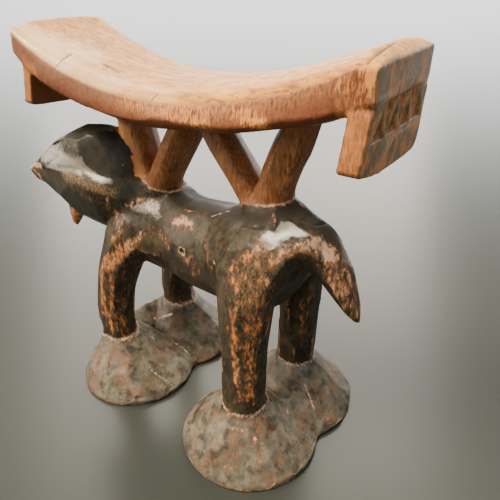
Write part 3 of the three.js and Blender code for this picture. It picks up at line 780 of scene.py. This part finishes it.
# Painted shade: the lowest band of each side, under the rounded edge, is darker, with pale specks
# left in it.
LOW_EDGE = 10
low_side = is_pillow & ~is_lug & (smooth_facing[:, 2] < 0.4)
low_shade_values = low_side * (1 - step(0, LOW_EDGE, points[:, 2] - pillow_under)) * 0.95
low_shade_mask = mark("pillow_low", eased_mask(low_shade_values, 1))
lay(frayed(low_shade_mask, side_fibre, 2.2, 0.35, 0.52), PILLOW_SHADE, 0.5, 0.05)
ORANGE_RUB = paint(0.80, 0.31, 0.085)
ORANGE_PATCHES = [
    ([(170, 112), (205, 124)], 3.4, 0.5), ([(240, 116), (262, 124)], 3.4, 0.6),
    ([(196, 118), (212, 110)], 2.0, 0.4), ([(368, 62), (372, 76)], 2.6, 0.9),
    ([(431, 45), (434, 52)], 2.0, 0.8), ([(345, 86), (362, 96)], 3.0, 0.4),
    ([(120, 98), (135, 106)], 3.0, 0.35),
]
orange_patch = mark("orange_patch", strokes(ORANGE_PATCHES, 0.8))
lay(frayed(orange_patch, side_fibre, 2.6, 0.25, 0.45), ORANGE_RUB, 0.45, 0.1)
ripple = speckle(2.2, (9, 1.4, 1), detail=4.0)
top_mask = frayed(mark("pillow_top", top_share), speckle(1.0, (1, 1, 3), detail=5.0), 0.7, 0.45)
lay(top_mask, blend("RGBA", ranged(ripple, 0.3, 0.65), PILLOW_TAN, PILLOW_PALE), 0.5, 0.0)
tan_patch = ranged(speckle(8, detail=6.0, roughness=0.65, seed=5.0), 0.48, 0.66)
lay(combine("MULTIPLY", top_mask, tan_patch), PILLOW_TAN, 0.5, 0.0)
SOIL = paint(0.26, 0.105, 0.040)
soil_streaks = speckle(1.6, (5, 1, 1), detail=6.0, roughness=0.7, seed=16.0)
soil = combine("MULTIPLY", top_mask, ranged(soil_streaks, 0.52, 0.62))
lay(combine("MULTIPLY", soil, 0.85), SOIL, 0.55, 0.0)
# The end over the head is glossy, and is painted pale there as a highlight of the glare on it.
PALE_GLARE_PAINT = paint(0.92, 0.62, 0.30)
GLOSSY_GLARE_END = [
    ([(24, 34), (42, 49), (66, 66)], 7.0, 1.0), ([(66, 66), (92, 78), (116, 86)], 5.5, 0.65),
    ([(116, 86), (142, 93), (168, 97)], 5.0, 0.35), ([(40, 40), (84, 56)], 8.0, 0.5),
]
glossy = mark("glossy", strokes(GLOSSY_GLARE_END) * eased_mask(top_share > 0.5, 2))
lay(combine("MULTIPLY", glossy, 0.9), PALE_GLARE_PAINT, 0.4, 0.7)

# The posts
# The posts are bare red-brown wood, oiled by hands, with faint grain along them. A lighter orange
# strip down the left face of the front post that leans towards the head is painted light.
POST_DARK = paint(0.130, 0.050, 0.020)
POST_LIGHT = paint(0.42, 0.175, 0.065)
POST_RUB_AND_LIGHT = paint(0.66, 0.29, 0.105)
post_mask = ranged(mark("post", eased_mask(is_post, 10)), 0.38, 0.52)
lay(post_mask, blend("RGBA", frayed(fibre, patch, 0.8, 0.35), POST_DARK, POST_LIGHT), 0.42, 0.12)
# The first strip is painted light from the side window; the second is a faint rub on a rear post.
POST_RUBBED_AND_LIT = [
    ([(124, 132), (131, 154), (139, 177)], 4.0, 1.2),
    ([(300, 142), (290, 172), (284, 196)], 2.4, 0.4),
]
post_rub = mark("post_rub", strokes(POST_RUBBED_AND_LIT) * is_post)
lay(frayed(post_rub, fibre, 1.4, 0.4, 0.5), POST_RUB_AND_LIGHT, 0.42, 0.12)

# The feet
# The stain on the feet has gone grey with dust and knocks, over brown-pink worn patches.
FOOT_GREY = paint(0.090, 0.078, 0.052)
FOOT_DUST = paint(0.180, 0.160, 0.115)
FOOT_BROWN = paint(0.165, 0.100, 0.060)
foot_mask = mark("foot", eased_mask(is_foot, 0))
foot_dust = combine("ADD", combine("MULTIPLY", tone, 0.3), 0.3)
foot_dust = frayed(foot_dust, speckle(7, detail=8.0, roughness=0.65, seed=1.0), 3.6, 0.4)
foot_coat = blend("RGBA", foot_dust, FOOT_GREY, FOOT_DUST)
foot_brown = speckle(9, detail=7.0, roughness=0.62, seed=2.0)
foot_coat = blend("RGBA", ranged(foot_brown, 0.47, 0.63), foot_coat, FOOT_BROWN)
foot_dark = speckle(6, detail=7.0, roughness=0.62, seed=13.0)
foot_coat = blend("RGBA", ranged(foot_dark, 0.46, 0.66, 0.0, 0.8), foot_coat, STAIN)
lay(foot_mask, foot_coat, 0.42, 0.12)

# Worn wood
# Stain wears off in steps: red-brown first, then bare orange, then pale where it is fresh. It
# goes from ridges, from the rims of the feet and from the places that hands and knocks reach.
WORN_BROWN = paint(0.17, 0.078, 0.036)
BARE_ORANGE = paint(0.60, 0.215, 0.060)
BARE_TAN = paint(0.46, 0.235, 0.120)
BARE_PALE = paint(0.62, 0.42, 0.27)
RUBBED = [
    ([(134, 246), (120, 254), (109, 268)], 4.0, 0.8),
    ([(107, 258), (102, 282), (104, 305), (112, 330)], 2.6, 0.7),
    ([(122, 226), (114, 246)], 3.4, 0.45), ([(118, 212), (115, 232)], 2.4, 0.5),
    ([(143, 236), (137, 248)], 1.8, 0.45), ([(112, 270), (112, 300), (118, 330)], 2.2, 0.55),
    ([(128, 258), (124, 300)], 2.0, 0.32), ([(122, 300), (126, 335)], 2.4, 0.36),
    ([(268, 285), (262, 308), (254, 345)], 4.5, 0.62),
    ([(236, 310), (233, 345), (237, 372), (242, 398)], 2.2, 0.68),
    ([(250, 330), (252, 375), (248, 400)], 4.0, 0.6),
    ([(243, 262), (252, 254), (262, 246)], 2.6, 0.72),
    ([(256, 266), (264, 255), (269, 248)], 1.8, 0.6), ([(231, 270), (231, 284)], 2.2, 0.66),
    ([(244, 272), (240, 300)], 6.0, 0.4), ([(262, 268), (254, 296)], 6.0, 0.42),
    ([(274, 260), (290, 252), (308, 250)], 3.2, 0.62), ([(310, 250), (326, 256)], 3.0, 0.5),
    ([(322, 256), (332, 266)], 3.4, 0.55),
    ([(333, 265), (343, 285), (352, 302), (358, 315)], 2.2, 0.75),
    ([(331, 245), (346, 268), (357, 298), (361, 314)], 1.4, 0.7),
    ([(322, 268), (336, 288), (348, 308)], 3.0, 0.5),
    ([(174, 224), (183, 220), (191, 227)], 2.2, 0.95),
    ([(128, 204), (141, 201), (156, 202)], 1.2, 0.7), ([(184, 254), (196, 270)], 3.4, 0.4),
    ([(204, 246), (211, 264)], 2.4, 0.38), ([(161, 228), (168, 246)], 2.4, 0.3),
    ([(33, 170), (40, 177), (47, 185)], 1.0, 0.95), ([(108, 200), (112, 218)], 1.4, 0.6),
    ([(312, 285), (314, 296)], 2.0, 0.55), ([(300, 300), (306, 335)], 2.4, 0.42),
    ([(168, 300), (180, 303), (196, 296)], 1.2, 0.5), ([(108, 368), (98, 384)], 2.4, 0.4),
    ([(126, 358), (122, 388)], 3.0, 0.34), ([(262, 425), (256, 462)], 4.4, 0.34),
    ([(236, 436), (230, 468)], 3.6, 0.34), ([(316, 408), (332, 420)], 2.4, 0.42),
]
rubbed = strokes(RUBBED, 0.8)
beard = eased_mask(part_of["beard"], 1)
RIM_HEIGHT = 2.2
rim = is_foot * (1 - step(0.6, RIM_HEIGHT, points[:, 2])) * step(0.05, 0.4, points[:, 2])
limb_wear = eased_mask(parts("leg", "tail", "haunch"), 3)
ridge_wear = ridge * (0.45 + 0.35 * limb_wear) * np.where(is_head, 0.3, 1)
worn_values = np.maximum.reduce([rubbed, ridge_wear * ~is_pillow, beard * 0.85, rim * 0.75])
worn = mark("worn", worn_values)
wear_grain = speckle(1.8, (1, 1, 2.6), detail=7.0, roughness=0.72, seed=4.0)
wear_patch = combine("MULTIPLY", patch, 0.15)
wear_grain = combine("ADD", combine("MULTIPLY", wear_grain, 0.85), wear_patch)
lower_lip = strokes([([(33, 170), (40, 177), (47, 185)], 2.0, 1.0)])
on_leg = mark("on_leg", np.maximum(eased_mask(parts("leg", "beard"), 8), lower_lip))
bare_colour = blend("RGBA", on_leg, BARE_TAN, BARE_ORANGE)
lay(frayed(worn, wear_grain, 4.4, 0.3, 0.46), WORN_BROWN, 0.4, 0.12)
lay(frayed(worn, wear_grain, 5.0, 0.26, 0.82), bare_colour, 0.4, 0.12)
pale_grain = speckle(0.6, (1, 1, 3), detail=4.0, seed=6.0)
lay(frayed(worn, pale_grain, 4.0, 0.3, 1.3), BARE_PALE, 0.5, 0.1)

# Here the stain has broken up into fine gold-brown specks.
SPECK_GOLD = paint(0.19, 0.115, 0.055)
SPECKLED = [
    ([(66, 176), (88, 184), (112, 194)], 4.0, 0.95),
    ([(70, 186), (92, 200), (108, 208)], 3.5, 0.65),
    ([(272, 258), (290, 254), (304, 256)], 3.6, 0.8),
    ([(262, 262), (252, 290), (246, 310)], 6.0, 0.72), ([(224, 262), (228, 300)], 3.0, 0.5),
    ([(196, 232), (214, 250)], 4.0, 0.5), ([(150, 230), (160, 250)], 4.0, 0.5),
]
speckled = mark("speckled", strokes(SPECKLED, 0.8))
specks = speckle(0.9, (1, 1, 1.4), detail=6.0, roughness=0.8, seed=21.0)
lay(frayed(combine("MULTIPLY", speckled, 0.9), specks, 3.6, 0.35, 0.76), SPECK_GOLD, 0.5, 0.08)

PALE_RUB = paint(0.48, 0.29, 0.18)
PALE_RUBBED = [
    ([(310, 245), (322, 245), (331, 256)], 2.8, 1.05),
    ([(277, 257), (292, 248), (308, 244)], 1.6, 0.6),
    ([(176, 223), (183, 220), (190, 226)], 1.2, 0.8),
    ([(130, 203), (142, 200), (155, 201)], 0.8, 0.8),
    ([(31, 167), (36, 166), (42, 166)], 1.3, 1.2), ([(142, 232), (143, 240)], 0.8, 0.7),
    ([(150, 205), (158, 214)], 2.6, 0.5), ([(126, 206), (138, 207)], 2.2, 0.4),
    ([(345, 268), (356, 296)], 0.7, 0.6), ([(240, 350), (238, 380)], 0.7, 0.5),
]
pale_rub = mark("pale_rub", strokes(PALE_RUBBED, 0.7))
lay(frayed(pale_rub, wear_grain, 4.0, 0.3, 0.6), PALE_RUB, 0.36, 0.3)

# Bare faces of the lugs
# The sides of each lug and its outer face at the head end have lost all their stain. The outer
# face at the tail end keeps patches of it, and the inner faces are plain dark wood.
SAWN_ORANGE = paint(0.72, 0.27, 0.080)
SAWN_DARK = paint(0.30, 0.115, 0.045)
below_pillow = is_lug & (points[:, 2] < LUG_TOP)
faces_tail = smooth_facing @ PILLOW_ALONG
lug_side = below_pillow & (np.abs(smooth_facing @ PILLOW_ACROSS) > 0.75)
head_end_face = below_pillow & (faces_tail < -0.75)
bare_lug = mark("bare_lug", eased_mask(lug_side | head_end_face, 2))
sawn_coat = blend("RGBA", frayed(side_fibre, patch, 0.9, 0.3), SAWN_DARK, SAWN_ORANGE)
lay(bare_lug, sawn_coat, 0.5, 0.06)
INNER_BROWN = paint(0.24, 0.095, 0.034)
inner_face = below_pillow & (faces_tail * np.sign(along_pillow) < -0.5)
lay(mark("inner_face", eased_mask(inner_face, 1)), INNER_BROWN, 0.5, 0.06)
LUG_STAIN = paint(0.21, 0.145, 0.075)
LUG_BROWN = paint(0.62, 0.265, 0.100)
tail_face = is_lug & (faces_tail > 0.6) & (along_pillow > 0)
lug_face = mark("lug_face", eased_mask(tail_face, 2))
lug_clouds = speckle(5, (1, 1, 1.5), detail=5.0, roughness=0.6, seed=8.0)
lug_pattern = frayed(lug_clouds, side_fibre, 0.8, 0.1, 0.51)
lay(lug_face, blend("RGBA", lug_pattern, LUG_STAIN, LUG_BROWN), 0.45, 0.06)
CHIP_LIGHT = paint(0.52, 0.215, 0.080)
CHIP_DARK = paint(0.22, 0.10, 0.045)
chips = mark("chips", chip_depth)
chip_coat = blend("RGBA", ranged(speckle(3), 0.4, 0.6), CHIP_LIGHT, CHIP_DARK)
lay(ranged(chips, 0.3, 0.8), chip_coat, 0.5, 0.05)

# Cut rings, scratches and cracks
# The fresh wood shows pale where the knife went round the posts and the legs, and in scratches;
# cracks, the mouth, the knot hole and deep creases are painted near-black.
FRESH = paint(0.66, 0.42, 0.28)
NEAR_BLACK = paint(0.012, 0.009, 0.006)
LEG_RING = 24.4
leg_ring = np.exp(-(((points[:, 2] - LEG_RING) / 0.8) ** 2)) * (is_foot | parts("leg"))
leg_ring *= step(0.1, 0.5, smooth_facing[:, 2] + 0.45)
rings = np.maximum.reduce([0.62 * ring_near, 0.5 * leg_ring, 0.6 * knot_ring])
fresh = mark("fresh", np.maximum(scratch, rings))
lay(frayed(fresh, speckle(1.2, detail=5.0, seed=7.0), 1.6, 0.35), FRESH, 0.5, 0.05)
dark_crease = 0.75 * crease * step(0.2, 0.5, flatness)
dirt = mark("dirt", np.maximum.reduce([crack, mouth, knot_hole, dark_crease]))
lay(frayed(combine("MULTIPLY", dirt, 0.8), fine, 1.2, 0.35), NEAR_BLACK, 0.6, 0.0)

feed(shader.inputs["Base Color"], coat["colour"])
feed(shader.inputs["Coat Weight"], coat["shine"])
shader.inputs["Coat Roughness"].default_value = 0.24
shader.inputs["Coat IOR"].default_value = 1.6
shader.inputs["Specular IOR Level"].default_value = 0.15
uneven = ranged(fine, 0.3, 0.7, -0.06, 0.08)
feed(shader.inputs["Roughness"], combine("ADD", coat["roughness"], uneven))
bump = add_node("ShaderNodeBump")
bump.inputs["Distance"].default_value = 0.0002
bump.inputs["Strength"].default_value = 0.7
dents = combine("MULTIPLY", speckle(2.6, detail=3.0, seed=15.0), 1.6)
pores = combine("ADD", speckle(0.8, (1, 1, 6), detail=5.0), fine)
feed(bump.inputs["Height"], combine("ADD", dents, pores))
feed(shader.inputs["Normal"], bump.outputs[0])

# The finished skin
# The net is thinned where the wood is flat, so that the cuts stay crisp.
TRIANGLES = 190000
low_corner, high_corner = (np.array(corner) * METRE for corner in cad_box)
points = np.clip(points, low_corner, high_corner)
skin.vertices.foreach_set("co", (points / METRE).astype(np.float32).ravel())
for name, values in marks.items():
    held = skin.attributes.new(name, "FLOAT", "POINT")
    held.data.foreach_set("value", values.astype(np.float32))
skin.update()
thinner = block.modifiers.new("thinner net", "DECIMATE")
thinner.ratio = TRIANGLES / (2 * len(skin.polygons))
skin = bpy.data.meshes.new_from_object(block.evaluated_get(bpy.context.evaluated_depsgraph_get()))
block.modifiers.clear()
block.data = skin
skin.shade_smooth()
skin.materials.clear()
skin.materials.append(finish)
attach(block, "root")
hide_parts("headrest")

# The room
# The headrest stands on a plain pale floor. Two windows behind its head and a warm ceiling light
# on the viewer's left light it softly.
FLOOR_HALF = 14.0
FLOOR_CORNERS = ((-1, -1), (1, -1), (1, 1), (-1, 1))
floor_mesh = bpy.data.meshes.new("floor")
floor_places = [(x * FLOOR_HALF, y * FLOOR_HALF, 0) for x, y in FLOOR_CORNERS]
floor_mesh.from_pydata(floor_places, [], [(0, 1, 2, 3)])
floor = bpy.data.objects.new("floor", floor_mesh)
bpy.context.scene.collection.objects.link(floor)
floor_finish = bpy.data.materials.new("pale floor")
floor_finish.use_nodes = True
floor_shader = floor_finish.node_tree.nodes["Principled BSDF"]
floor_shader.inputs["Base Color"].default_value = (0.038, 0.043, 0.037, 1)
floor_shader.inputs["Roughness"].default_value = 0.26
floor_shader.inputs["Specular IOR Level"].default_value = 0.3
floor_mesh.materials.append(floor_finish)


def soft_light(name, direction, distance, size, power, colour=(1, 1, 1)):
    """A square soft light that faces the middle of the headrest."""
    light = bpy.data.lights.new(name, "AREA")
    light.size = size
    light.energy = power
    light.color = colour
    lamp = bpy.data.objects.new(name, light)
    lamp.location = Vector((0, 0, 0.09)) + Vector(direction).normalized() * distance
    lamp.rotation_euler = (-Vector(direction)).to_track_quat("-Z", "Y").to_euler()
    bpy.context.scene.collection.objects.link(lamp)


WARM = (1.0, 0.85, 0.66)
soft_light("window", WINDOW, 5.0, 4.0, 420, (1.0, 0.92, 0.80))
soft_light("side window", (-0.80, -0.62, 0.42), 4.5, 2.6, 170, WARM)
soft_light("ceiling light", CEILING, 2.4, 1.1, 130, WARM)

# The room is light on the window's side and dim behind the viewer.
WINDOW_SIDE = (-0.50, 0.86, 0.03)
DIM = 0.6
LIGHT = 6.6
world = bpy.data.worlds.new("room")
world.use_nodes = True
room = world.node_tree
from_here = room.nodes.new("ShaderNodeTexCoord")
towards = room.nodes.new("ShaderNodeVectorMath")
towards.operation = "DOT_PRODUCT"
towards.inputs[1].default_value = WINDOW_SIDE
room.links.new(from_here.outputs["Generated"], towards.inputs[0])
glow = room.nodes.new("ShaderNodeMapRange")
glow.interpolation_type = "SMOOTHSTEP"
glow.inputs["From Min"].default_value = 0.3
room.links.new(towards.outputs["Value"], glow.inputs["Value"])
apart = room.nodes.new("ShaderNodeSeparateXYZ")
room.links.new(from_here.outputs["Generated"], apart.inputs[0])
low_glow = room.nodes.new("ShaderNodeMapRange")
low_glow.interpolation_type = "SMOOTHSTEP"
low_glow.inputs["From Min"].default_value = 0.45
low_glow.inputs["From Max"].default_value = 0.0
room.links.new(apart.outputs["Z"], low_glow.inputs["Value"])
both = room.nodes.new("ShaderNodeMath")
both.operation = "MULTIPLY"
room.links.new(glow.outputs[0], both.inputs[0])
room.links.new(low_glow.outputs[0], both.inputs[1])
strength = room.nodes.new("ShaderNodeMapRange")
strength.inputs["To Min"].default_value = DIM
strength.inputs["To Max"].default_value = LIGHT
room.links.new(both.outputs[0], strength.inputs["Value"])
room.links.new(strength.outputs[0], room.nodes["Background"].inputs["Strength"])
room.nodes["Background"].inputs["Color"].default_value = (0.97, 1, 1, 1)
bpy.context.scene.world = world
